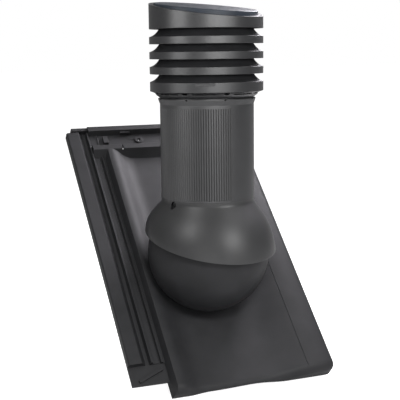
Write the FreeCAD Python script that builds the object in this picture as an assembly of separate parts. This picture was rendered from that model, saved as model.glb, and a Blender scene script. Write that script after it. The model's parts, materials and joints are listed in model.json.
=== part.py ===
"""Roof tile vent: an interlocking tile with a ball seat, and a hooded vent stack that tilts on it.

Millimetres. +Z is up along the plumb pipe, +X runs across the roof and -Y points down the slope.
The origin is the centre of the hose spigot's lower end. Pieces are drawn about the centre of the
ball seat and moved to their place when they are saved.
"""
import FreeCAD, Part
import math
import os

os.makedirs("parts", exist_ok=True)

V = FreeCAD.Vector
X_AXIS = V(1, 0, 0)
Y_AXIS = V(0, 1, 0)
Z_AXIS = V(0, 0, 1)
FAR = 600.0                  # reach of cutting tools, longer than any piece

# Ball seat and tilt
ROOF_PITCH = 42.8            # slope at which the tile is drawn, degrees
TILT_BACK = 5.0              # stack leans this far up the slope, degrees
TILT_FORWARD = 23.0          # stack leans this far down the slope, degrees
TILT_MARGIN = 1.0            # spare angle in the bowl's opening at each end, degrees
BOWL_RADIUS = 87.5           # outside of the bowl; the seat's height and the neck's follow from it
SEAT_GAP = 0.4               # running gap of the seat ribs and of the ball collar
STACK_TURN = 22.0            # the stack's own front is turned this far from the slope line, degrees

# Tile outline, measured from the seat centre along the tile
TILE_WALL = 3.0
HEAD_REACH = 294.0           # up the slope to the head edge
FOOT_REACH = 193.0           # down the slope to the front lip
BODY_LEFT = -95.0            # foot of the body's left wall
BODY_RIGHT = 150.0           # cover roll's outer face
LIP_LEFT = -14.0             # front lip's lower edge at the left, from the reference plane
LIP_RIGHT = -11.0            # the same at the right
LIP_ROUND = 11.0             # rolled edge of the front lip and cover roll
RIDGE_INSET = 7.0            # lean of the body's left wall
ROLL_INSET = 0.5             # lean of the cover roll's outer face
RIDGE_HEIGHT = 4.5           # left ridge above the reference plane
PAN_DEPTH = 9.0              # pan below the reference plane
ROLL_HEIGHT = 9.0            # cover roll above the reference plane
RIDGE_WIDTH = 60.0           # run from the ridge down into the pan
ROLL_WIDTH = 90.0            # run from the pan up to the roll's outer face
# Points of those two runs: share of the width, share of the height between pan and top
RIDGE_CURVE = ((0.2, 0.074), (0.467, 0.7), (1.0, 0.967))
ROLL_CURVE = ((1.0, 0.825), (0.733, 0.4), (0.511, 0.035))
ROLL_LINE = 43.0             # fine groove on the cover roll, from its outer face
ROLL_LINE_WIDTH = 1.0
ROLL_LINE_DEPTH = 0.5

# Side lock at the left, heights from the reference plane
LOCK_LEFT = -146.0           # outer edge of the lock flange
LOCK_FLANGE = 17.0           # width of the flange's flat top
FLANGE_BEVEL = 2.0
LOCK_FLOOR = -6.5
LOCK_GROOVE = -9.0
LOCK_UNDER = -12.0
LOCK_RIB = -1.0
LOCK_LOW_RIB = -4.0
LOCK_SILL = -7.5
LOCK_OVERLAP = 4.0           # lock's plate runs this far under the body's wall
# Lock's section: distance from the flange's inner edge and height, then the same from the body's wall
FLANGE_STEPS = (
    (7.0, LOCK_GROOVE), (12.0, LOCK_GROOVE), (13.5, LOCK_RIB), (15.5, LOCK_RIB), (17.5, LOCK_FLOOR))
WALL_STEPS = (
    (10.5, LOCK_FLOOR), (9.5, LOCK_GROOVE), (8.0, LOCK_GROOVE), (7.0, LOCK_LOW_RIB),
    (5.5, LOCK_LOW_RIB), (4.0, LOCK_SILL), (0.0, LOCK_SILL), (0.0, LOCK_UNDER))
POCKET_FOOT = 4.0            # hollow below the flange reaches this far past its inner edge
POCKET_TOP = 2.0             # and ends this far short of it at the top
LOCK_END = -170.0            # lower end of the lock, along the tile
GROOVE_END = -141.0          # grooves stop here, the foot plate follows
HEAD_CORNER = 9.0            # slanted corner at the head, up the slope
CORNER_WIDTH = 9.0           # the same corner across the tile
CORNER_LIP = 6.0
WATER_BAR = 4.0              # width of the slanted bar on the foot plate
WATER_BAR_RUN = 36.0
WATER_BAR_FALL = 15.0
WATER_BAR_RISE = 3.5
WATER_BAR_INSET = 11.0
WATER_BAR_LIFT = 5.0

# Head lock
HEAD_RIB = 9.0               # width of each head rib's flat top
HEAD_BEVEL = 2.0
HEAD_CHANNEL = 25.0          # width of the channel floor
CHANNEL_FLOOR = -5.0
RIB_LEAN = 3.0               # slope of the ribs' sides
PAN_SLOPE = 12.5             # run of the slanted wall from the inner rib to the pan
PAN_BITE = 0.5               # that wall's foot sinks this far into the pan
WEEP_INSET = 32.0            # notch through the inner rib, from the body's left wall
WEEP_WIDTH = 2.0
HEAD_LEFT = -111.0           # left end of the head ribs
HEAD_RIGHT = 128.0           # right end, clear of the next tile's cover roll
NIB_WIDTH = 30.0
NIB_SEAT = 18.0              # height of the nibs' face on the batten, below the tile's lowest edge
NIB_LENGTH = 14.0
NIB_STEP = 2.0               # nib's root set back from that face
NIB_OFFSET = 81.0            # nibs left and right of the middle, clear of the hose spigot
NAIL_RADIUS = 2.75
NAIL_BOSS_RADIUS = 7.0
NAIL_BOSS_RISE = 2.0
NAIL_OFFSET = 28.0
TAB_OFFSET = 50.0            # small tabs on the outer rib, left and right of the middle
TAB_WIDTH = 16.0
TAB_TOP = 2.0
PAD_INSET = 6.0              # pad in the channel, from the body's left wall
PAD_WIDTH = 8.0
PAD_LENGTH = 14.0

# Hose spigot under the tile, square to the roof
SPIGOT_RADIUS = 62.5
SPIGOT_WALL = 3.5
SPIGOT_LENGTH = 56.0         # free length for the hose
SPIGOT_STOP = 4.0            # height of the stop ring that the hose meets
SPIGOT_STOP_PROUD = 3.5      # stays within the bowl's wall where the pan meets it
SPIGOT_LEDGE = 0.5           # bowl's inside is this much wider than the spigot where they meet

# Duct
DUCT_RADIUS = 50.0
DUCT_WALL = 2.5
DUCT_CHAMFER = 1.0
DUCT_FOOT = 30.0             # duct's lower end above the seat centre
OPENING_GAP = 2.0            # bowl's opening round the duct
COLLAR_GAP = 0.5             # ball collar passes the hose spigot with this radial gap
COLLAR_WALL = 3.0

# Pipe
PIPE_RADIUS = 66.5
PIPE_WALL = 3.0
PIPE_LENGTH = 141.0
SLIP = 0.3                   # radial gap of the sleeves inside the pipe and round the duct
FLUTE_PITCH = 3.0            # degrees
FLUTE_DEPTH = 0.7
FLUTE_WIDTH = 2.3
FLUTE_FOOT = 2.0             # plain edge below the flutes
FLUTE_TOP = 12.5             # plain band above the flutes
PLAIN_HALF = 25.5            # half width of the two plain strips, degrees
PLAIN_TURN = 12.0            # their middle, from the stack's front and back, degrees
FLARE_HEIGHT = 8.0
FLARE_PROUD = 2.4
SNAP_NOTCH_RADIUS = 1.9      # half-round notches in the pipe's head
SNAP_COUNT = 8               # snaps, slots and columns round the cap

# Hood
HOOD_WALL = 3.0
HOOD_SINK = 0.7              # inside is lowered by this share of the wall where it slopes
HOOD_GAP = 4.5               # gap between hood and bowl, were the rim level and central
RIM_LIFT = 19.5              # rim centre above the seat centre
RIM_TILT = 13.5              # degrees
RIM_SHIFT = 5.0              # rim centre off the pipe axis, to its low side
NECK_LIFT = 22.5             # pipe's lower edge above the place where the neck would meet the bowl
NECK_HEIGHT = 5.0            # plain neck below the pipe
NECK_STEP = 0.5              # pipe proud of the neck
NECK_ROUND = 9.0
SPIGOT_RISE = 20.0           # neck's sleeve inside the pipe
SHOULDER = 3.0               # thickness below the pipe's edge
RIB_COUNT = 8                # seat ribs inside the hood
RIB_THICK = 2.4
# Stations from neck to rim: share of the drop, of the growth and of the tilt
HOOD_STATIONS = (
    (0.0, 0.0, 0.0),
    (0.175, 0.25, 0.25),
    (0.46, 0.65, 0.50),
    (0.75, 0.90, 0.76),
    (1.0, 1.0, 1.0))

# Neck screws
SCREW_DROP = 5.6             # screw axis below the pipe's edge
SCREW_HEAD_RADIUS = 4.2
SCREW_HEAD = 2.4
SCREW_RADIUS = 2.0
SCREW_GAP = 0.1
COUNTERBORE_RADIUS = 5.4
COUNTERBORE_DEPTH = 5.0
BOSS_RADIUS = 7.5
SCREW_SLOT = 1.0             # width of the cross recess
SCREW_SLOT_REACH = 2.9       # its arms, from the middle
SCREW_SLOT_DEPTH = 1.3

# Cap
RING_OVERHANG = 13.5         # rings stand out this far from the pipe
RING_WALL = 2.4
RING_PITCH = 20.7
RING_BAND = 9.8
BASE_BAND = 13.0
LOUVRE_INNER = 65.2          # outer face of a louvre at its upper edge
LOUVRE_RISE = 13.5           # louvre above its band
LOUVRE_SAG = 1.7             # hollow of the louvre's curve
LOUVRE_LEAN = 0.7            # a slanted wall's shift along each axis, as a share of its thickness
COLLAR_LIFT = 1.6            # groove between pipe and lock collar
COLLAR_HEIGHT = 6.6
COLLAR_FOOT = 0.8            # lock collar's lower edge beyond the pipe
COLLAR_BREAK = 0.42          # height of the break in its slope, as a share
BASE_BEVEL = 1.8             # bevel below the lowest ring
BEVEL_INSET = 5.5
SLEEVE_DEPTH = 15.0          # cap sleeve inside the pipe
DUCT_SOCKET = 8.6            # socket round the duct's upper end, below the cap floor
COLUMN_THICK = 5.0
COLUMN_DEPTH = 6.0
COLUMN_SINK = 0.6            # column's bite into the louvre
COLUMN_LIFT = 6.0            # columns meet this far above each ring's lower edge
PEG = 2.4
PEG_GAP = 0.15
LATCH_WIDTH = 26.0
LATCH_HEIGHT = 3.6
LATCH_DROP = 0.6
LATCH_DEPTH = 1.8
LATCH_TURN = 45.0            # degrees
SLOT_LIFT = 2.2              # slots above the cap floor
SLOTS = ((0.0, 36.0, 1.5), (0.5, 7.5, 2.8))  # place as a share of the pitch, width, height
CAP_SLANT = 9.0              # degrees
CAP_RISE = 26.8              # slanted rim above the cap top's lower edge, on the axis
LID_INSET = 7.3              # lid's edge from the rings' outer face
LID_GAP = 0.3
LID_SEAT = 2.0               # depth of the lid's recess
LID_SLANT = 7.0              # degrees
LID_PROUD_HIGH = 1.2         # lid above the rim at the high side
LID_WALL = 2.5
LID_ROUND = 1.2
DECK_WALL = 2.6              # ledge below the lid
DECK_HOLE = 61.0             # radius of the opening below the lid
HOOK_WIDTH = 10.0
HOOK_THICK = 2.2
HOOK_LIP = 1.4
HOOK_COUNT = 4

# Levels and radii that follow from the sizes above
RIDGE_FALL = RIDGE_HEIGHT + PAN_DEPTH
ROLL_FALL = ROLL_HEIGHT + PAN_DEPTH
BOWL_INNER = BOWL_RADIUS - TILE_WALL
SPIGOT_INNER = SPIGOT_RADIUS - SPIGOT_WALL
PAN_UNDER = math.sqrt(BOWL_INNER ** 2 - (SPIGOT_INNER + SPIGOT_LEDGE) ** 2)
SEAT_ABOVE_TILE = PAN_UNDER - PAN_DEPTH - TILE_WALL
STOP_LEVEL = PAN_UNDER + SPIGOT_STOP
SPIGOT_END = STOP_LEVEL + SPIGOT_LENGTH
OUTER_RIB_FOOT = HEAD_REACH - HEAD_BEVEL - HEAD_RIB - RIB_LEAN
INNER_RIB_FOOT = OUTER_RIB_FOOT - HEAD_CHANNEL
INNER_RIB_TOP = INNER_RIB_FOOT - RIB_LEAN
BROW = INNER_RIB_TOP - HEAD_RIB
NAIL_ROW = OUTER_RIB_FOOT - HEAD_CHANNEL / 2
SLOPE = math.radians(ROOF_PITCH)
SEAT = V(0, -math.sin(SLOPE) * SPIGOT_END, math.cos(SLOPE) * SPIGOT_END)
NECK_RADIUS = PIPE_RADIUS - NECK_STEP
NECK_INNER = NECK_RADIUS - HOOD_WALL
PIPE_FOOT = math.sqrt(BOWL_RADIUS ** 2 - NECK_RADIUS ** 2) + NECK_LIFT
PIPE_HEAD = PIPE_FOOT + PIPE_LENGTH
PIPE_INNER = PIPE_RADIUS - PIPE_WALL
RING_RADIUS = PIPE_RADIUS + RING_OVERHANG
LID_RADIUS = RING_RADIUS - LID_INSET
SLEEVE_OUTER = PIPE_INNER - SLIP
SLEEVE_INNER = SLEEVE_OUTER - RING_WALL
RIM_RADIUS = BOWL_RADIUS + HOOD_GAP + HOOD_WALL
SCREW_LEVEL = PIPE_FOOT - SCREW_DROP
SCREW_SEAT = NECK_RADIUS - COUNTERBORE_DEPTH
DUCT_INNER = DUCT_RADIUS - DUCT_WALL
COLLAR_RADIUS = SPIGOT_INNER - COLLAR_GAP
COLLAR_BOTTOM = PIPE_HEAD + COLLAR_LIFT
BASE_BOTTOM = COLLAR_BOTTOM + COLLAR_HEIGHT + BASE_BEVEL
CAP_FLOOR = COLLAR_BOTTOM + RING_WALL
DUCT_TOP = CAP_FLOOR + RING_WALL
LOUVRE_GAP = RING_PITCH - RING_BAND
RING_BOTTOMS = [BASE_BOTTOM + BASE_BAND + LOUVRE_GAP + RING_PITCH * i for i in range(4)]
CAP_TOP_BOTTOM = RING_BOTTOMS[3]
CAP_RIM = CAP_TOP_BOTTOM + CAP_RISE
COLUMN_OUTER = LOUVRE_INNER - RING_WALL + COLUMN_SINK
SNAP_START = 180.0 / SNAP_COUNT


def line_edges(points):
    """Straight edges through the points in turn."""
    return [Part.LineSegment(a, b).toShape() for a, b in zip(points, points[1:])]


def section(points):
    """A flat face inside the closed outline of the points."""
    return Part.Face(Part.Wire(line_edges(points + points[:1])))


def turned(edges):
    """The solid that a closed outline in the XZ plane sweeps about Z."""
    return Part.Face(Part.Wire(edges)).revolve(V(0, 0, 0), Z_AXIS, 360)


def ring(outer, inner, low, high):
    """A plain tube about Z."""
    body = Part.makeCylinder(outer, high - low, V(0, 0, low))
    return body.cut(Part.makeCylinder(inner, high - low, V(0, 0, low)))


def block(x0, x1, y0, y1, z0, z1):
    """A box between two corners."""
    return Part.makeBox(x1 - x0, y1 - y0, z1 - z0, V(x0, y0, z0))


def about_z(shape, angle):
    """A copy turned about the pipe axis."""
    copy = shape.copy()
    copy.rotate(V(0, 0, 0), Z_AXIS, angle)
    return copy


def around(shape, count, start=0.0):
    """Equal copies round the pipe axis."""
    return [about_z(shape, start + 360.0 / count * i) for i in range(count)]


def pan_line(drop):
    """Upper line across the tile body, lowered by drop: left ridge, pan and cover roll."""
    left = BODY_LEFT + RIDGE_INSET
    right = BODY_RIGHT - ROLL_INSET
    heights = [(left, RIDGE_HEIGHT)]
    heights += [(left + RIDGE_WIDTH * a, RIDGE_HEIGHT - RIDGE_FALL * b) for a, b in RIDGE_CURVE]
    heights += [(0, -PAN_DEPTH)]
    heights += [(right - ROLL_WIDTH * a, ROLL_HEIGHT - ROLL_FALL * b) for a, b in ROLL_CURVE]
    heights += [(right, ROLL_HEIGHT)]
    curve = Part.BSplineCurve()
    curve.interpolate([V(x, 0, h - drop) for x, h in heights])
    return curve


def body_block(inset, base_left, base_right, front, back):
    """Solid below the pan line, set in by inset, with its front and right edges rolled."""
    top = pan_line(inset)
    left_end = top.value(top.FirstParameter)
    right_end = top.value(top.LastParameter)
    lean = RIDGE_INSET * (base_left - LIP_LEFT) / (RIDGE_HEIGHT - LIP_LEFT)
    foot_left = V(BODY_LEFT + inset + lean, 0, base_left)
    foot_right = V(BODY_RIGHT - inset, 0, base_right)
    start = V(left_end.x + inset, 0, left_end.z)
    stop = V(right_end.x - inset, 0, right_end.z)
    first = top.parameter(V(start.x, 0, start.z))
    last = top.parameter(V(stop.x, 0, stop.z))
    top_edge = top.toShape(first, last)
    ends = [vertex.Point for vertex in top_edge.Vertexes]
    outline = [top_edge] + line_edges([ends[1], foot_right, foot_left, ends[0]])
    solid = Part.Face(Part.Wire(outline)).extrude(V(0, back - front, 0))
    solid.translate(V(0, front, 0))
    rolled = [e for e in solid.Edges if is_rolled(e, front, ends[1])]
    return solid.makeFillet(LIP_ROUND - 0.5 * inset, rolled)


def is_rolled(edge, front, corner):
    """True for the front upper edge, the cover roll's upper edge and the corner where they meet."""
    middle = edge.valueAt(0.5 * (edge.FirstParameter + edge.LastParameter))
    box = edge.BoundBox
    on_front = abs(middle.y - front) < 0.01 and box.YLength < 0.01
    at_right = box.XMin > corner.x - 0.01
    front_top = on_front and middle.z > LIP_LEFT - PAN_DEPTH and box.XLength > ROLL_WIDTH
    right_top = at_right and box.YLength > 1 and abs(middle.z - corner.z) < 0.01
    right_front = on_front and at_right and box.ZLength > 1
    return front_top or right_top or right_front


def side_lock():
    """Side lock at the left: flange, groove, rib, floor and a second groove, with the foot plate."""
    flange_end = LOCK_LEFT + FLANGE_BEVEL + LOCK_FLANGE
    inner = BODY_LEFT + LOCK_OVERLAP
    outline = [V(LOCK_LEFT, 0, LOCK_UNDER), V(LOCK_LEFT, 0, -FLANGE_BEVEL)]
    outline += [V(LOCK_LEFT + FLANGE_BEVEL, 0, 0), V(flange_end, 0, 0)]
    outline += [V(flange_end + run, 0, height) for run, height in FLANGE_STEPS]
    outline += [V(inner - run, 0, height) for run, height in WALL_STEPS]
    under_flange = [
        V(flange_end + POCKET_FOOT, 0, LOCK_UNDER), V(flange_end - POCKET_TOP, 0, -TILE_WALL),
        V(LOCK_LEFT + TILE_WALL, 0, -TILE_WALL), V(LOCK_LEFT + TILE_WALL, 0, LOCK_UNDER)]
    head = HEAD_REACH - HEAD_CORNER
    rails = section(outline).extrude(V(0, head - GROOVE_END, 0))
    pocket = section(under_flange).extrude(V(0, head - GROOVE_END - 2 * TILE_WALL, 0))
    pocket.translate(V(0, TILE_WALL, 0))
    rails = rails.cut(pocket)
    rails.translate(V(0, GROOVE_END, 0))
    foot = block(LOCK_LEFT, inner, LOCK_END, GROOVE_END, LOCK_UNDER, LOCK_GROOVE)
    bar_length = math.hypot(WATER_BAR_RUN, WATER_BAR_FALL)
    half = WATER_BAR / 2
    bar = block(0, bar_length, -half, half, LOCK_UNDER, LOCK_GROOVE + WATER_BAR_RISE)
    bar.rotate(V(0, 0, 0), Z_AXIS, math.degrees(math.atan2(WATER_BAR_FALL, WATER_BAR_RUN)))
    bar.translate(V(LOCK_LEFT + WATER_BAR_INSET, LOCK_END + WATER_BAR_LIFT, 0))
    corner_left = LOCK_LEFT + CORNER_WIDTH
    corner = section([
        V(LOCK_LEFT, head, LOCK_UNDER), V(corner_left, HEAD_REACH, LOCK_UNDER),
        V(HEAD_LEFT + TILE_WALL, HEAD_REACH, LOCK_UNDER), V(HEAD_LEFT + TILE_WALL, head, LOCK_UNDER)])
    corner = corner.extrude(V(0, 0, TILE_WALL))
    lip = block(corner_left, HEAD_LEFT, HEAD_REACH - CORNER_LIP, HEAD_REACH, LOCK_UNDER, 0)
    return [rails, foot, bar, corner, lip]


def head_lock():
    """Head lock: two ribs with a channel between them, and the slanted wall down to the pan."""
    rib_top = RIDGE_HEIGHT
    under = rib_top - TILE_WALL
    wall = TILE_WALL - PAN_BITE
    lean = TILE_WALL / 2
    pan_foot = BROW - PAN_SLOPE
    outline = [
        V(0, HEAD_REACH, LOCK_UNDER), V(0, HEAD_REACH, rib_top - HEAD_BEVEL),
        V(0, HEAD_REACH - HEAD_BEVEL, rib_top), V(0, OUTER_RIB_FOOT + RIB_LEAN, rib_top),
        V(0, OUTER_RIB_FOOT, CHANNEL_FLOOR), V(0, INNER_RIB_FOOT, CHANNEL_FLOOR),
        V(0, INNER_RIB_TOP, rib_top), V(0, BROW, rib_top), V(0, pan_foot, -PAN_DEPTH - PAN_BITE),
        V(0, pan_foot + wall, -PAN_DEPTH - wall), V(0, BROW + lean, under),
        V(0, INNER_RIB_TOP - lean, under), V(0, INNER_RIB_FOOT - lean, CHANNEL_FLOOR - TILE_WALL),
        V(0, OUTER_RIB_FOOT + lean, CHANNEL_FLOOR - TILE_WALL),
        V(0, OUTER_RIB_FOOT + RIB_LEAN + lean, under), V(0, HEAD_REACH - TILE_WALL, under),
        V(0, HEAD_REACH - TILE_WALL, LOCK_UNDER)]
    bar = section(outline).extrude(V(HEAD_RIGHT - HEAD_LEFT, 0, 0))
    bar.translate(V(HEAD_LEFT, 0, 0))
    weep = BODY_LEFT + WEEP_INSET
    slot = block(weep, weep + WEEP_WIDTH, BROW - 1, INNER_RIB_TOP + 1, 0, FAR)
    extras = []
    for side in (-1, 1):
        nib_left = side * NIB_OFFSET - NIB_WIDTH / 2
        nib_right = nib_left + NIB_WIDTH
        nib_end = INNER_RIB_FOOT + NIB_LENGTH
        seat_top = LIP_LEFT - 1
        extras.append(block(nib_left, nib_right, INNER_RIB_FOOT, nib_end, seat_top - NIB_SEAT, seat_top))
        root = CHANNEL_FLOOR - 1
        nib_root = INNER_RIB_FOOT + NIB_STEP
        extras.append(block(nib_left, nib_right, nib_root, nib_end, seat_top, root))
        tab_left = side * TAB_OFFSET - TAB_WIDTH / 2
        tab_back = OUTER_RIB_FOOT + RIB_LEAN
        tab_front = OUTER_RIB_FOOT - 1
        extras.append(block(tab_left, tab_left + TAB_WIDTH, tab_front, tab_back, root, TAB_TOP))
        boss_foot = V(side * NAIL_OFFSET, NAIL_ROW, root)
        extras.append(Part.makeCylinder(NAIL_BOSS_RADIUS, NAIL_BOSS_RISE + 1, boss_foot))
    pad_left = BODY_LEFT + PAD_INSET
    pad_front = NAIL_ROW - PAD_LENGTH / 2
    extras.append(block(pad_left, pad_left + PAD_WIDTH, pad_front, pad_front + PAD_LENGTH, root, 0))
    return [bar.cut(slot)] + extras


def tile_base():
    """The moulded tile: body shell, side lock, head lock and the bowl that carries the hood."""
    deep = -SEAT_ABOVE_TILE
    outer = body_block(0.0, LIP_LEFT + deep, LIP_RIGHT + deep, -FOOT_REACH, BROW)
    slant = (LIP_RIGHT - LIP_LEFT) / (BODY_RIGHT - BODY_LEFT)
    base_low = V(BODY_LEFT - FAR, -FAR, LIP_LEFT - slant * FAR)
    base_high = V(BODY_RIGHT + FAR, -FAR, LIP_RIGHT + slant * FAR)
    below = section([base_low, base_high, base_high - Z_AXIS * FAR, base_low - Z_AXIS * FAR])
    outer = outer.cut(below.extrude(V(0, 2 * FAR, 0)))
    front_inside = -FOOT_REACH + TILE_WALL
    hollow = body_block(TILE_WALL, LIP_LEFT + deep, LIP_RIGHT + deep, front_inside, BROW - TILE_WALL)
    line_x = BODY_RIGHT - ROLL_LINE
    line_low = ROLL_HEIGHT - ROLL_LINE_DEPTH
    roll_line = block(line_x - ROLL_LINE_WIDTH, line_x, -FAR, BROW, line_low, FAR)
    pieces = side_lock() + head_lock()
    flat = outer.cut(hollow).cut(roll_line).fuse(pieces)
    flat.translate(V(0, 0, -SEAT_ABOVE_TILE))
    hollow.translate(V(0, 0, -SEAT_ABOVE_TILE))
    ball = Part.makeSphere(BOWL_RADIUS)
    space = Part.makeSphere(BOWL_INNER)
    spigot = Part.makeCylinder(SPIGOT_RADIUS, SPIGOT_END - SEAT_ABOVE_TILE, V(0, 0, -SPIGOT_END))
    stop_radius = SPIGOT_RADIUS + SPIGOT_STOP_PROUD
    stop = Part.makeCylinder(stop_radius, STOP_LEVEL - SEAT_ABOVE_TILE, V(0, 0, -STOP_LEVEL))
    bore = Part.makeCylinder(SPIGOT_INNER, SPIGOT_END, V(0, 0, -SPIGOT_END))
    flat = flat.fuse([ball.cut(hollow), spigot, stop]).cut(space).cut(bore)
    for side in (-1, 1):
        flat = flat.cut(Part.makeCylinder(NAIL_RADIUS, FAR, V(side * NAIL_OFFSET, NAIL_ROW, -FAR / 2)))
    tile = flat.removeSplitter()
    tile.rotate(V(0, 0, 0), X_AXIS, ROOF_PITCH)
    return tile.cut(duct_sweep()).removeSplitter()


def duct_sweep():
    """Space that the duct takes up above the seat centre over the whole tilt, with its gap."""
    radius = DUCT_RADIUS + OPENING_GAP
    ends = [math.radians(a) for a in (-TILT_BACK - TILT_MARGIN, TILT_FORWARD + TILT_MARGIN)]
    leans = [V(0, -math.sin(a), math.cos(a)) for a in ends]
    corner = V(-radius, 0, 0)
    wedge = section([corner, corner + leans[0] * FAR, corner + leans[1] * FAR])
    space = wedge.extrude(V(2 * radius, 0, 0))
    for lean in leans:
        space = space.fuse(Part.makeCylinder(radius, FAR, V(0, 0, 0), lean))
    return space


def inner_duct():
    """Air duct with the ball collar that grips the bowl from below."""
    foot_edge = DUCT_RADIUS - DUCT_CHAMFER
    tube = turned(line_edges([
        V(DUCT_INNER, 0, DUCT_FOOT), V(foot_edge, 0, DUCT_FOOT),
        V(DUCT_RADIUS, 0, DUCT_FOOT + DUCT_CHAMFER), V(DUCT_RADIUS, 0, DUCT_TOP),
        V(DUCT_INNER, 0, DUCT_TOP), V(DUCT_INNER, 0, DUCT_FOOT)]))
    ball = BOWL_INNER - SEAT_GAP
    shell = Part.makeSphere(ball).cut(Part.makeSphere(ball - COLLAR_WALL))
    band = ring(COLLAR_RADIUS, DUCT_RADIUS - DUCT_WALL / 2, 0, BOWL_RADIUS)
    duct = tube.fuse(shell.common(band))
    for tool in screw_holes(SCREW_RADIUS + SCREW_GAP):
        duct = duct.cut(tool)
    return duct.removeSplitter()


def screw_holes(radius):
    """Radial holes for the two neck screws."""
    return around(Part.makeCylinder(radius, FAR, V(0, 0, SCREW_LEVEL), X_AXIS), 2)


def hood_loft(inset):
    """Solid through the hood's stations, set in by inset."""
    top = PIPE_FOOT - NECK_HEIGHT
    rings = []
    for down, out, lean in HOOD_STATIONS:
        radius = NECK_RADIUS + (RIM_RADIUS - NECK_RADIUS) * out - inset
        angle = math.radians(RIM_TILT * lean)
        centre = V(0, -RIM_SHIFT * lean, top + (RIM_LIFT - top) * down - HOOD_SINK * inset)
        rings.append(Part.Wire(Part.makeCircle(radius, centre, V(0, -math.sin(angle), math.cos(angle)))))
    return Part.makeLoft(rings, True)


def dome_hood():
    """Hood with its neck, the sleeve for the pipe, seat ribs and bosses for the neck screws."""
    neck_foot = PIPE_FOOT - NECK_HEIGHT
    neck = Part.makeCylinder(NECK_RADIUS, NECK_HEIGHT, V(0, 0, neck_foot))
    outer = hood_loft(0.0).fuse(neck).removeSplitter()
    boxes = [(edge, edge.BoundBox) for edge in outer.Edges]
    joint = [edge for edge, box in boxes if box.ZLength < 0.01 and abs(box.ZMin - neck_foot) < 0.01]
    outer = outer.makeFillet(NECK_ROUND, joint)
    space = hood_loft(HOOD_WALL)
    hood = outer.cut(space).cut(Part.makeCylinder(NECK_INNER, FAR, V(0, 0, neck_foot - 2 * HOOD_WALL)))
    hood = hood.fuse(ring(NECK_INNER + 1, SLEEVE_INNER, PIPE_FOOT - SHOULDER, PIPE_FOOT))
    hood = hood.fuse(ring(SLEEVE_OUTER, SLEEVE_INNER, PIPE_FOOT - SHOULDER, PIPE_FOOT + SPIGOT_RISE))
    seat = Part.makeSphere(BOWL_RADIUS + SEAT_GAP)
    rib = block(NECK_INNER - 2, RIM_RADIUS, -RIB_THICK / 2, RIB_THICK / 2, BOWL_RADIUS / 2, neck_foot)
    ribs = [r.common(space).cut(seat) for r in around(rib, RIB_COUNT, 180.0 / RIB_COUNT)]
    boss_start = DUCT_RADIUS + SLIP
    boss = Part.makeCylinder(BOSS_RADIUS, SLEEVE_OUTER - boss_start, V(boss_start, 0, SCREW_LEVEL), X_AXIS)
    boss = boss.cut(seat)
    hood = hood.fuse(ribs + around(boss, 2))
    counterbore = Part.makeCylinder(COUNTERBORE_RADIUS, FAR, V(SCREW_SEAT, 0, SCREW_LEVEL), X_AXIS)
    for tool in around(counterbore, 2) + screw_holes(SCREW_RADIUS + SCREW_GAP):
        hood = hood.cut(tool)
    return hood.cut(Part.makeCylinder(DUCT_RADIUS + SLIP, FAR)).removeSplitter()


def neck_screws():
    """Two cross-recessed screws from the neck into the duct."""
    shank_end = DUCT_INNER + DUCT_WALL / 3
    head = Part.makeCylinder(SCREW_HEAD_RADIUS, SCREW_HEAD, V(SCREW_SEAT, 0, SCREW_LEVEL), X_AXIS)
    shank = Part.makeCylinder(SCREW_RADIUS, SCREW_SEAT - shank_end, V(shank_end, 0, SCREW_LEVEL), X_AXIS)
    top = SCREW_SEAT + SCREW_HEAD
    reach = SCREW_SLOT_REACH
    half = SCREW_SLOT / 2
    floor = top - SCREW_SLOT_DEPTH
    slots = [block(floor, top, -reach, reach, SCREW_LEVEL - half, SCREW_LEVEL + half),
             block(floor, top, -half, half, SCREW_LEVEL - reach, SCREW_LEVEL + reach)]
    screw = head.fuse(shank).cut(slots[0]).cut(slots[1]).removeSplitter()
    return Part.makeCompound(around(screw, 2))


def outer_pipe():
    """Pipe with vertical flutes, two plain strips and a flared head."""
    flare = PIPE_RADIUS + FLARE_PROUD
    pipe = turned(line_edges([
        V(PIPE_INNER, 0, PIPE_FOOT), V(PIPE_RADIUS, 0, PIPE_FOOT),
        V(PIPE_RADIUS, 0, PIPE_HEAD - FLARE_HEIGHT), V(flare, 0, PIPE_HEAD - 1), V(flare, 0, PIPE_HEAD),
        V(PIPE_INNER, 0, PIPE_HEAD), V(PIPE_INNER, 0, PIPE_FOOT)]))
    edge = PIPE_RADIUS + 0.3
    flute = section([V(0, -edge, 0), V(FLUTE_WIDTH / 2, -edge, 0), V(0, FLUTE_DEPTH - PIPE_RADIUS, 0),
                     V(-FLUTE_WIDTH / 2, -edge, 0)])
    low = PIPE_FOOT + FLUTE_FOOT
    flute = flute.extrude(V(0, 0, PIPE_HEAD - FLUTE_TOP - low))
    flute.translate(V(0, 0, low))
    count = int((180.0 - 2 * PLAIN_HALF) / FLUTE_PITCH)
    first = 90.0 - FLUTE_PITCH * (count - 1) / 2
    steps = [side * (first + FLUTE_PITCH * i) for side in (-1, 1) for i in range(count)]
    pipe = pipe.cut(Part.makeCompound([about_z(flute, PLAIN_TURN + a) for a in steps]))
    notch = Part.makeCylinder(SNAP_NOTCH_RADIUS, FAR, V(0, 0, PIPE_HEAD), X_AXIS)
    return pipe.cut(Part.makeCompound(around(notch, SNAP_COUNT, SNAP_START)))


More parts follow.
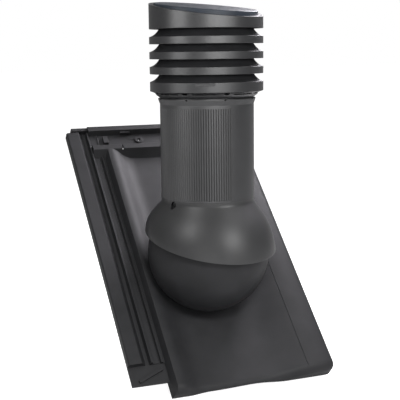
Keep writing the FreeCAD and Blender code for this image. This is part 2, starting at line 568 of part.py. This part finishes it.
def louvre_edges(low, band):
    """Edges of a louvre's section, from its outer lower corner over the hollow louvre to its inside."""
    top = low + band
    tip = top + LOUVRE_RISE
    inner = RING_RADIUS - RING_WALL
    outer_mid = V((RING_RADIUS + LOUVRE_INNER) / 2 - LOUVRE_SAG, 0, top + LOUVRE_RISE / 2 - LOUVRE_SAG)
    inner_mid = outer_mid - V(RING_WALL * LOUVRE_LEAN, 0, RING_WALL * LOUVRE_LEAN)
    over = Part.Arc(V(RING_RADIUS, 0, top), outer_mid, V(LOUVRE_INNER, 0, tip)).toShape()
    under_start = V(LOUVRE_INNER - RING_WALL, 0, tip)
    under = Part.Arc(under_start, inner_mid, V(inner, 0, top - RING_WALL * LOUVRE_LEAN)).toShape()
    side = line_edges([V(RING_RADIUS, 0, low), V(RING_RADIUS, 0, top)])
    tip_edge = line_edges([V(LOUVRE_INNER, 0, tip), under_start])
    return side + [over] + tip_edge + [under]


def columns(low, high, peg, socket):
    """Moulded columns behind the louvres, with a peg on top and a socket below."""
    half = COLUMN_THICK / 2
    column = block(COLUMN_OUTER - COLUMN_DEPTH, COLUMN_OUTER, -half, half, low, high)
    middle = COLUMN_OUTER - COLUMN_DEPTH / 2
    if peg:
        half = PEG / 2
        column = column.fuse(block(middle - half, middle + half, -half, half, high, high + PEG))
    if socket:
        half = PEG / 2 + PEG_GAP
        column = column.cut(block(middle - half, middle + half, -half, half, low, low + PEG + PEG_GAP))
    return around(column, SNAP_COUNT, SNAP_START)


def louvre_ring(low):
    """One louvre ring with its columns."""
    inner_low = V(RING_RADIUS - RING_WALL, 0, low)
    inner_top = V(RING_RADIUS - RING_WALL, 0, low + RING_BAND - RING_WALL * LOUVRE_LEAN)
    edges = louvre_edges(low, RING_BAND) + line_edges([inner_top, inner_low, V(RING_RADIUS, 0, low)])
    body = turned(edges)
    posts = columns(low + COLUMN_LIFT, low + RING_PITCH + COLUMN_LIFT, True, True)
    return body.fuse(posts).removeSplitter()


def cap_base():
    """Lowest ring with the lock collar, the sleeve in the pipe, the floor and the duct's socket."""
    low = BASE_BOTTOM
    inner = RING_RADIUS - RING_WALL
    bevel = RING_RADIUS - BEVEL_INSET
    foot = PIPE_RADIUS + COLLAR_FOOT
    mid = (foot + bevel) / 2
    mid_z = COLLAR_BOTTOM + COLLAR_HEIGHT * COLLAR_BREAK
    socket_in = DUCT_RADIUS + SLIP
    socket_out = socket_in + RING_WALL
    drop = RING_WALL * LOUVRE_LEAN
    inside = [
        V(inner, 0, low + BASE_BAND - drop), V(inner, 0, low + drop), V(bevel - 1, 0, low),
        V(mid - 1.2, 0, mid_z + RING_WALL), V(foot - 1, 0, CAP_FLOOR), V(socket_out, 0, CAP_FLOOR),
        V(socket_out, 0, DUCT_TOP), V(socket_in, 0, DUCT_TOP), V(socket_in, 0, COLLAR_BOTTOM - DUCT_SOCKET),
        V(socket_out, 0, COLLAR_BOTTOM - DUCT_SOCKET), V(socket_out, 0, COLLAR_BOTTOM),
        V(SLEEVE_INNER, 0, COLLAR_BOTTOM), V(SLEEVE_INNER, 0, PIPE_HEAD - SLEEVE_DEPTH),
        V(SLEEVE_OUTER, 0, PIPE_HEAD - SLEEVE_DEPTH), V(SLEEVE_OUTER, 0, COLLAR_BOTTOM),
        V(foot, 0, COLLAR_BOTTOM), V(mid, 0, mid_z), V(bevel, 0, COLLAR_BOTTOM + COLLAR_HEIGHT),
        V(RING_RADIUS, 0, low)]
    body = turned(louvre_edges(low, BASE_BAND) + line_edges(inside))
    column_foot = CAP_FLOOR - RING_WALL / 5
    body = body.fuse(columns(column_foot, RING_BOTTOMS[0] + COLUMN_LIFT, True, False))
    slot_low = CAP_FLOOR + SLOT_LIFT
    cuts = []
    for share, width, height in SLOTS:
        slot = block(PIPE_RADIUS, FAR, -width / 2, width / 2, slot_low, slot_low + height)
        cuts += around(slot, SNAP_COUNT, 360.0 / SNAP_COUNT * share)
    latch_top = low + BASE_BAND - LATCH_DROP
    latch_floor = RING_RADIUS - LATCH_DEPTH
    latch = block(latch_floor, FAR, -LATCH_WIDTH / 2, LATCH_WIDTH / 2, latch_top - LATCH_HEIGHT, latch_top)
    cuts += around(latch, 2, LATCH_TURN)
    return body.cut(Part.makeCompound(cuts)).removeSplitter()


def above_plane(level, slant):
    """Everything above a plane that crosses the axis at level and falls towards the front."""
    half_space = block(-FAR, FAR, -FAR, FAR, 0, FAR)
    half_space.rotate(V(0, 0, 0), X_AXIS, slant)
    half_space.translate(V(0, 0, level))
    return half_space


def cap_top():
    """Tall top ring with a slanted rim, and inside it the ledge that carries the lid."""
    low = CAP_TOP_BOTTOM
    rim_cut = above_plane(CAP_RIM, CAP_SLANT)
    body = Part.makeCylinder(RING_RADIUS, 2 * CAP_RISE, V(0, 0, low)).cut(rim_cut)
    ledge = CAP_RIM - LID_SEAT - DECK_WALL
    inside = Part.makeCylinder(RING_RADIUS - RING_WALL, FAR, V(0, 0, low))
    body = body.cut(inside.cut(above_plane(ledge, CAP_SLANT)))
    recess = Part.makeCylinder(LID_RADIUS + LID_GAP, FAR, V(0, 0, low))
    body = body.cut(recess.common(above_plane(CAP_RIM - LID_SEAT, CAP_SLANT)))
    body = body.cut(Part.makeCylinder(DECK_HOLE, FAR, V(0, 0, low)))
    posts = columns(low + COLUMN_LIFT, CAP_RIM + CAP_RISE, False, True)
    posts = [post.cut(above_plane(ledge + 1, CAP_SLANT)) for post in posts]
    return body.fuse(posts).removeSplitter()


def cap_lid():
    """Slanted lid, hollow below, with hooks that grip the ledge."""
    seat = CAP_RIM - LID_SEAT
    rise = LID_RADIUS * (math.tan(math.radians(CAP_SLANT)) - math.tan(math.radians(LID_SLANT)))
    crown = CAP_RIM + LID_PROUD_HIGH + rise
    disc = Part.makeCylinder(LID_RADIUS, FAR, V(0, 0, CAP_TOP_BOTTOM)).common(above_plane(seat, CAP_SLANT))
    disc = disc.cut(above_plane(crown, LID_SLANT))
    top = max(disc.Faces, key=lambda face: face.CenterOfMass.z)
    disc = disc.makeFillet(LID_ROUND, top.OuterWire.Edges)
    pocket = Part.makeCylinder(DECK_HOLE, FAR, V(0, 0, CAP_TOP_BOTTOM))
    disc = disc.cut(pocket.cut(above_plane(crown - LID_WALL, LID_SLANT)))
    hook_in = DECK_HOLE - LID_GAP - HOOK_THICK
    half = HOOK_WIDTH / 2
    grip = seat - DECK_WALL - LID_GAP
    stem = block(hook_in, hook_in + HOOK_THICK, -half, half, CAP_TOP_BOTTOM, FAR)
    lip = block(hook_in, hook_in + HOOK_THICK + HOOK_LIP, -half, half, CAP_TOP_BOTTOM, FAR)
    below_lip = above_plane(grip - HOOK_THICK, CAP_SLANT)
    stem_cut = above_plane(crown - LID_WALL / 2, LID_SLANT)
    lip_cut = above_plane(grip, CAP_SLANT)
    stems = [s.common(below_lip).cut(stem_cut) for s in around(stem, HOOK_COUNT)]
    lips = [s.common(below_lip).cut(lip_cut) for s in around(lip, HOOK_COUNT)]
    return disc.fuse(stems + lips).removeSplitter()


def save(name, shape):
    """Move one piece to its place and write it."""
    shape.translate(SEAT)
    shape.exportStep("parts/" + name + ".step")


stack = {
    "inner_duct": inner_duct(), "dome_hood": dome_hood(), "neck_screws": neck_screws(),
    "outer_pipe": outer_pipe(), "cap_base": cap_base(), "louvre_ring_lower": louvre_ring(RING_BOTTOMS[0]),
    "louvre_ring_middle": louvre_ring(RING_BOTTOMS[1]), "louvre_ring_upper": louvre_ring(RING_BOTTOMS[2]),
    "cap_top": cap_top(), "cap_lid": cap_lid()}
save("tile_base", tile_base())
for piece_name, piece in stack.items():
    save(piece_name, about_z(piece, STACK_TURN))
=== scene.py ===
import bpy
import bmesh
import json
import math
from mathutils import Matrix, Vector


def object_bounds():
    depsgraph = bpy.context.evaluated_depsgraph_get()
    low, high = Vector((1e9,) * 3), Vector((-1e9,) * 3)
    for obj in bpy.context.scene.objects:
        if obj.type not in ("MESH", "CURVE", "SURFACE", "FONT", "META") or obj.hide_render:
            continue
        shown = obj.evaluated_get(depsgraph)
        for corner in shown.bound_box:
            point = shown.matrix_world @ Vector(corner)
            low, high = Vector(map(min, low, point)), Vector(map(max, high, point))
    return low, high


# Roof tile vent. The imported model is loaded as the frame, and each of its solids gets its finish
# below.
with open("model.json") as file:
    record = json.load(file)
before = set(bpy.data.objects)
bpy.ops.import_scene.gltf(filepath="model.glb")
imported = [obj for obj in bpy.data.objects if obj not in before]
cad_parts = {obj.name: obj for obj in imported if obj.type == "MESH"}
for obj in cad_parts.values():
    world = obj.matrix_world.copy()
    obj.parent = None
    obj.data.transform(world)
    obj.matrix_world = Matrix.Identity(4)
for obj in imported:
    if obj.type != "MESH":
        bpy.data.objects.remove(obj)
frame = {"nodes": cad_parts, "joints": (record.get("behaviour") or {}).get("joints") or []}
cad_low, cad_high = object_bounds()
nodes = frame["nodes"]
seat = Vector(frame["joints"][0]["pos_m"])

# Tile. One moulding of through-dyed anthracite plastic: side lock, head lock, pan, cover roll and
# the bowl of the ball seat. The mould leaves a fine grain, and the pan keeps a little pale dust.
TILE_ANTHRACITE = (0.0135, 0.0136, 0.0147)
DUST = (0.085, 0.085, 0.089, 1.0)
WORN_EDGE = (0.055, 0.055, 0.057, 1.0)
CLOUD_CELLS = 38.0            # noise cells to the metre, as the next two
SPECK_CELLS = 240.0
GRAIN_CELLS = 1400.0
CLOUD_SPREAD = 0.12           # share by which the colour drifts to either side
EDGE_TURN = (0.99, 0.80)      # cosines at which the wear of an edge starts and is full
EDGE_WEAR = 0.7
DULLER, SHINIER = 0.06, 0.05  # drift of the roughness to either side
GRAIN_STRENGTH = 0.35
PLASTIC_IOR = 1.49


def shader_of(name):
    """A fresh material with its tree and its main shader."""
    material = bpy.data.materials.new(name)
    material.use_nodes = True
    tree = material.node_tree
    return material, tree, tree.nodes["Principled BSDF"]


def feed(tree, value, socket):
    """Link an output to a socket, or set the socket to a plain value."""
    if isinstance(value, bpy.types.NodeSocket):
        tree.links.new(value, socket)
    else:
        socket.default_value = value


def math_step(tree, operation, *values, clamp=False):
    """One sum on numbers."""
    step = tree.nodes.new("ShaderNodeMath")
    step.operation = operation
    step.use_clamp = clamp
    for value, socket in zip(values, step.inputs):
        feed(tree, value, socket)
    return step.outputs["Value"]


def vector_step(tree, operation, *values):
    """One sum on vectors."""
    step = tree.nodes.new("ShaderNodeVectorMath")
    step.operation = operation
    for value, socket in zip(values, step.inputs):
        feed(tree, value, socket)
    return step.outputs["Value" if operation in ("DOT_PRODUCT", "LENGTH") else "Vector"]


def map_step(tree, source, span, result=(0.0, 1.0), smooth=False):
    """A stretch of the source spread over another stretch."""
    step = tree.nodes.new("ShaderNodeMapRange")
    step.interpolation_type = "SMOOTHSTEP" if smooth else "LINEAR"
    for name, number in zip(("From Min", "From Max", "To Min", "To Max"), (*span, *result)):
        step.inputs[name].default_value = number
    feed(tree, source, step.inputs["Value"])
    return step.outputs["Result"]


def mix_step(tree, share, low, high):
    """A blend of two colours."""
    step = tree.nodes.new("ShaderNodeMix")
    step.data_type = "RGBA"
    feed(tree, share, step.inputs["Factor"])
    feed(tree, low, step.inputs["A"])
    feed(tree, high, step.inputs["B"])
    return step.outputs["Result"]


def own_place(tree):
    """The piece's own coordinates."""
    return tree.nodes.new("ShaderNodeTexCoord").outputs["Object"]


def cell_noise(tree, cells, detail, roughness=0.5):
    """Noise on the piece's own coordinates, its size given in cells to the metre."""
    noise = tree.nodes.new("ShaderNodeTexNoise")
    noise.inputs["Scale"].default_value = cells
    noise.inputs["Detail"].default_value = detail
    noise.inputs["Roughness"].default_value = roughness
    feed(tree, own_place(tree), noise.inputs["Vector"])
    return noise.outputs["Fac"]


def ramp_between(tree, source, low, high, start=0.35, stop=0.65):
    """Colours from low to high over a stretch of the source."""
    ramp = tree.nodes.new("ShaderNodeValToRGB")
    first, last = ramp.color_ramp.elements
    first.position, first.color = start, (*low, 1.0)
    last.position, last.color = stop, (*high, 1.0)
    feed(tree, source, ramp.inputs["Fac"])
    return ramp.outputs["Color"]


def moulded_plastic(name, colour, roughness, dust=0.08, grain=0.00012, gloss=0.5, edge=0.0008):
    """Dyed plastic: cloudy colour, fine grain, worn edges, and dust on what faces the sky."""
    material, tree, shader = shader_of(name)
    cloud = cell_noise(tree, CLOUD_CELLS, detail=5.0)
    speck = cell_noise(tree, SPECK_CELLS, detail=6.0, roughness=0.7)
    fine = cell_noise(tree, GRAIN_CELLS, detail=3.0, roughness=0.6)
    dark = tuple(c * (1.0 - CLOUD_SPREAD) for c in colour)
    light = tuple(c * (1.0 + CLOUD_SPREAD) for c in colour)
    body = ramp_between(tree, cloud, dark, light)
    facing = tree.nodes.new("ShaderNodeNewGeometry").outputs["Normal"]
    split = tree.nodes.new("ShaderNodeSeparateXYZ")
    feed(tree, facing, split.inputs["Vector"])
    skyward = math_step(tree, "MULTIPLY", split.outputs["Z"], speck, clamp=True)
    dusty = mix_step(tree, math_step(tree, "MULTIPLY", skyward, dust), body, DUST)
    soft_edge = tree.nodes.new("ShaderNodeBevel")
    soft_edge.samples = 6
    soft_edge.inputs["Radius"].default_value = edge
    turned = vector_step(tree, "DOT_PRODUCT", soft_edge.outputs["Normal"], facing)
    wear = map_step(tree, turned, EDGE_TURN, (0.0, EDGE_WEAR))
    worn = mix_step(tree, math_step(tree, "MULTIPLY", wear, cloud), dusty, WORN_EDGE)
    feed(tree, worn, shader.inputs["Base Color"])
    sheen = map_step(tree, speck, (0.0, 1.0), (roughness - SHINIER, roughness + DULLER))
    feed(tree, sheen, shader.inputs["Roughness"])
    bump = tree.nodes.new("ShaderNodeBump")
    bump.inputs["Strength"].default_value = GRAIN_STRENGTH
    bump.inputs["Distance"].default_value = grain
    feed(tree, fine, bump.inputs["Height"])
    feed(tree, soft_edge.outputs["Normal"], bump.inputs["Normal"])
    feed(tree, bump.outputs["Normal"], shader.inputs["Normal"])
    shader.inputs["IOR"].default_value = PLASTIC_IOR
    shader.inputs["Specular IOR Level"].default_value = gloss
    return material


def dress(node, material):
    """Give a CAD node its finish in every slot."""
    mesh = nodes[node].data
    mesh.materials.clear()
    mesh.materials.append(material)


dress("tile_base", moulded_plastic("tile_anthracite", TILE_ANTHRACITE, roughness=0.56,
                                   dust=0.05, gloss=0.2))

# Duct. A plain grey extruded tube with a ball collar, mostly hidden in the bowl and the pipe.
# It is put in from below and held to the hood by the neck screws.
DUCT_GREY = (0.13, 0.135, 0.14)
dress("inner_duct", moulded_plastic("duct_grey", DUCT_GREY, roughness=0.5, dust=0.1))

# Hood. A moulding with a smoother skin than the tile's, which laps over the bowl.
# Its rim is cut at a slant, and two counterbores in its neck take the screws.
ANTHRACITE = (0.0105, 0.0107, 0.0115)
dress("dome_hood", moulded_plastic("hood_anthracite", ANTHRACITE, roughness=0.44,
                                   grain=0.00008, gloss=0.72))

# Neck screws. Blackened steel screws with a cross recess, driven through the neck into the duct.
# The black oxide is worn a little paler by the driver.
BLACK_OXIDE = (0.035, 0.035, 0.036)
WORN_OXIDE = (0.075, 0.075, 0.077)
OXIDE_CELLS = 900.0
steel, steel_tree, steel_shader = shader_of("screw_black_steel")
oxide = ramp_between(steel_tree, cell_noise(steel_tree, OXIDE_CELLS, detail=4.0),
                     BLACK_OXIDE, WORN_OXIDE)
feed(steel_tree, oxide, steel_shader.inputs["Base Color"])
steel_shader.inputs["Metallic"].default_value = 1.0
steel_shader.inputs["Roughness"].default_value = 0.34
dress("neck_screws", steel)

# Pipe. An extruded tube with fine upright flutes between two plain strips, and a flared head.
# It is pushed over the hood's sleeve, and the cap's sleeve is pushed into its head.
# The flutes' valleys are painted darker than their crests: painted shade for the shade that falls
# into them, not a colour of the plastic.
PIPE_RADIUS = 0.0665
VALLEY_SHADE_DEPTH = 0.0006         # depth at which a flute's valley is darkest
PIPE_CREST = (0.014, 0.0142, 0.0151)
PAINTED_VALLEY_SHADE = (0.002, 0.002, 0.0022, 1.0)
pipe_skin = moulded_plastic("pipe_anthracite_valley_shade", PIPE_CREST, roughness=0.40, dust=0.0, edge=0.0001)
pipe_tree = pipe_skin.node_tree
pipe_colour = pipe_tree.nodes["Principled BSDF"].inputs["Base Color"]
from_seat = vector_step(pipe_tree, "SUBTRACT", own_place(pipe_tree), seat)
level_part = vector_step(pipe_tree, "MULTIPLY", from_seat, (1.0, 1.0, 0.0))
from_axis = vector_step(pipe_tree, "LENGTH", level_part)
# Painted shade: going inwards from the crest radius, the colour turns to the near-black valley
# colour, so each flute's valley looks shaded.
crest_unshaded = map_step(pipe_tree, from_axis, (PIPE_RADIUS - VALLEY_SHADE_DEPTH, PIPE_RADIUS))
crest_colour = pipe_colour.links[0].from_socket
feed(pipe_tree, mix_step(pipe_tree, crest_unshaded, PAINTED_VALLEY_SHADE, crest_colour), pipe_colour)
dress("outer_pipe", pipe_skin)

# Cap. Five rings clipped on one another: the base with its lock collar, three louvres and the tall
# top. They come from one polished mould, so their skin is smoother than the tile's.
cap_skin = moulded_plastic("cap_anthracite", ANTHRACITE, roughness=0.36, grain=0.00006)
for ring_name in ("cap_base", "louvre_ring_lower", "louvre_ring_middle", "louvre_ring_upper",
                  "cap_top"):
    dress(ring_name, cap_skin)

# Lid. A slanted disc of bluish grey plastic with a smooth skin, paler than the rings below it.
# It lies in a recess of the top ring, and four hooks under it grip the ring's ledge.
BLUE_GREY = (0.019, 0.0235, 0.031)
dress("cap_lid", moulded_plastic("lid_blue_grey", BLUE_GREY, roughness=0.40,
                                 grain=0.00004, gloss=0.15))

# Floor. A plain sheet of white paper just below the tile's lowest edge, not part of the object.
# The camera and clear pieces see it lifted to white, and reflections see a share of that.
# It keeps a soft shadow.
MIRRORED_SHARE = 0.2
PAPER = (0.6, 0.6, 0.6, 1.0)
PAPER_GLOW = 0.85
FLOOR_HALF = 20.0
FLOOR_DROP = 0.002


def background_rays(tree):
    """One for rays from the camera or through a clear piece, and a share for reflections."""
    rays = tree.nodes.new("ShaderNodeLightPath").outputs
    clear = math_step(tree, "MAXIMUM", rays["Is Camera Ray"], rays["Is Transmission Ray"])
    return math_step(tree, "MULTIPLY_ADD", rays["Is Glossy Ray"], MIRRORED_SHARE, clear, clamp=True)


sheet_mesh = bpy.data.meshes.new("floor")
sheet = bmesh.new()
bmesh.ops.create_grid(sheet, x_segments=1, y_segments=1, size=FLOOR_HALF)
bmesh.ops.translate(sheet, vec=(0.0, 0.0, cad_low.z - FLOOR_DROP), verts=sheet.verts)
sheet.to_mesh(sheet_mesh)
sheet.free()
floor = bpy.data.objects.new("floor", sheet_mesh)
bpy.context.scene.collection.objects.link(floor)
paper, paper_tree, paper_shader = shader_of("white_paper")
paper_shader.inputs["Base Color"].default_value = PAPER
paper_shader.inputs["Roughness"].default_value = 0.9
glow = paper_tree.nodes.new("ShaderNodeEmission")
glow.inputs["Strength"].default_value = PAPER_GLOW
lifted = paper_tree.nodes.new("ShaderNodeAddShader")
seen = paper_tree.nodes.new("ShaderNodeMixShader")
feed(paper_tree, paper_shader.outputs["BSDF"], lifted.inputs[0])
feed(paper_tree, glow.outputs["Emission"], lifted.inputs[1])
feed(paper_tree, background_rays(paper_tree), seen.inputs["Fac"])
feed(paper_tree, paper_shader.outputs["BSDF"], seen.inputs[1])
feed(paper_tree, lifted.outputs["Shader"], seen.inputs[2])
feed(paper_tree, seen.outputs["Shader"], paper_tree.nodes["Material Output"].inputs["Surface"])
sheet_mesh.materials.append(paper)

# Light. A room that is brightest above in front and looks plain white, and seven soft lamps. Two
# strips draw the lines down cap and pipe, kept off hood and tile as by a studio's black cards. Two
# light the hood, one the tile, one the tile's head, and a weak one fills from the front.
WHITE = (1.0, 1.0, 1.0, 1.0)
ROOM_FRONT = Vector((-0.18, -0.62, 0.76)).normalized()
ROOM_SPAN = (-0.2, 1.0)       # from behind to straight in front
ROOM_LEVEL = (0.06, 0.62)
FAINT_VIOLET = (0.97, 0.94, 1.0)
scene = bpy.context.scene
scene.view_settings.view_transform = "Standard"
world = bpy.data.worlds.new("studio")
scene.world = world
world.use_nodes = True
sky_tree = world.node_tree
room = sky_tree.nodes["Background"]
room.inputs["Color"].default_value = WHITE
plain = sky_tree.nodes.new("ShaderNodeBackground")
plain.inputs["Color"].default_value = WHITE
plain.inputs["Strength"].default_value = 1.0
where = sky_tree.nodes.new("ShaderNodeTexCoord").outputs["Generated"]
frontness = vector_step(sky_tree, "DOT_PRODUCT", where, ROOM_FRONT)
brightness = map_step(sky_tree, frontness, ROOM_SPAN, ROOM_LEVEL, smooth=True)
feed(sky_tree, brightness, room.inputs["Strength"])
pick = sky_tree.nodes.new("ShaderNodeMixShader")
feed(sky_tree, background_rays(sky_tree), pick.inputs["Fac"])
feed(sky_tree, room.outputs["Background"], pick.inputs[1])
feed(sky_tree, plain.outputs["Background"], pick.inputs[2])
feed(sky_tree, pick.outputs["Shader"], sky_tree.nodes["World Output"].inputs["Surface"])
stack_middle = seat + Vector((0.0, 0.0, 0.15))
tile_head = seat + Vector((-0.015, 0.20, 0.11))


def card(name, state, *pieces):
    """Pieces that a lamp is kept off or kept to, as by a card held in its light."""
    group = bpy.data.collections.new(name)
    for piece in pieces:
        group.objects.link(piece)
    for member in group.collection_objects:
        member.light_linking.link_state = state
    return group


def soft_lamp(name, place, aim, width, tall, power, reach=None):
    """A flat lamp at a place, turned to face the aim."""
    data = bpy.data.lights.new(name, "AREA")
    data.shape = "RECTANGLE"
    data.size = width
    data.size_y = tall
    data.energy = power
    lamp = bpy.data.objects.new(name, data)
    scene.collection.objects.link(lamp)
    lamp.location = place
    lamp.rotation_euler = (aim - place).to_track_quat("-Z", "Y").to_euler()
    if reach is not None:
        lamp.light_linking.receiver_collection = reach
    return data


def from_bearing(bearing, distance, height):
    """A place round the pipe, the bearing in degrees to the right of the slope line."""
    angle = math.radians(bearing)
    return stack_middle + Vector((math.sin(angle) * distance, -math.cos(angle) * distance, height))


off_hood_and_tile = card("off_hood_and_tile", "EXCLUDE", nodes["dome_hood"], nodes["tile_base"])
tile_and_floor = card("tile_and_floor", "INCLUDE", nodes["tile_base"], floor)
soft_lamp("strip_left", from_bearing(-75.8, 1.8, 0.42), stack_middle,
          width=1.00, tall=0.45, power=17.3, reach=off_hood_and_tile)
soft_lamp("strip_right", from_bearing(-1.0, 1.8, 0.42), stack_middle,
          width=1.15, tall=0.45, power=25.5, reach=off_hood_and_tile)
soft_lamp("hood_left", from_bearing(-56.8, 1.25, 1.05), stack_middle,
          width=0.40, tall=0.50, power=6.9)
soft_lamp("hood_right", from_bearing(25.5, 1.35, 0.52), stack_middle,
          width=0.40, tall=0.45, power=7.8)
soft_lamp("front_fill", from_bearing(-24.0, 1.9, 0.15), stack_middle,
          width=1.10, tall=0.60, power=2.6)
soft_lamp("tile_key", from_bearing(-8.0, 1.35, 0.92), seat,
          width=0.30, tall=0.30, power=17.0, reach=tile_and_floor)
head_panel = soft_lamp("head_panel", tile_head + Vector((0.45, 0.06, 0.50)), tile_head,
                       width=0.45, tall=0.30, power=10.2)
head_panel.color = FAINT_VIOLET

# Camera. It stands at the photograph's bearing, a little to the left of the slope line, and looks
# slightly down; its distance and lens give the photograph's perspective.
BEARING = math.radians(-21.39)
HEIGHT = math.radians(8.95)
ROLL = math.radians(-0.68)
DISTANCE = 1.3844
SHIFT_LEFT = 0.0121
SHIFT_UP = 0.0674
AIM_LIFT = 0.006              # aim above the centre of the ball seat
back = Vector((math.sin(BEARING) * math.cos(HEIGHT),
               -math.cos(BEARING) * math.cos(HEIGHT),
               math.sin(HEIGHT)))
level = Vector((math.cos(BEARING), math.sin(BEARING), 0.0))
rise = back.cross(level)
right = level * math.cos(ROLL) + rise * math.sin(ROLL)
up = rise * math.cos(ROLL) - level * math.sin(ROLL)
lens = bpy.data.cameras.new("camera")
lens.sensor_fit = "HORIZONTAL"
lens.sensor_width = 36.0
lens.lens = 85.93
camera = bpy.data.objects.new("camera", lens)
scene.collection.objects.link(camera)
eye = seat + Vector((0.0, 0.0, AIM_LIFT)) + back * DISTANCE - right * SHIFT_LEFT + up * SHIFT_UP
turn = Matrix((right, up, back)).transposed().to_4x4()
camera.matrix_world = Matrix.Translation(eye) @ turn
scene.camera = camera
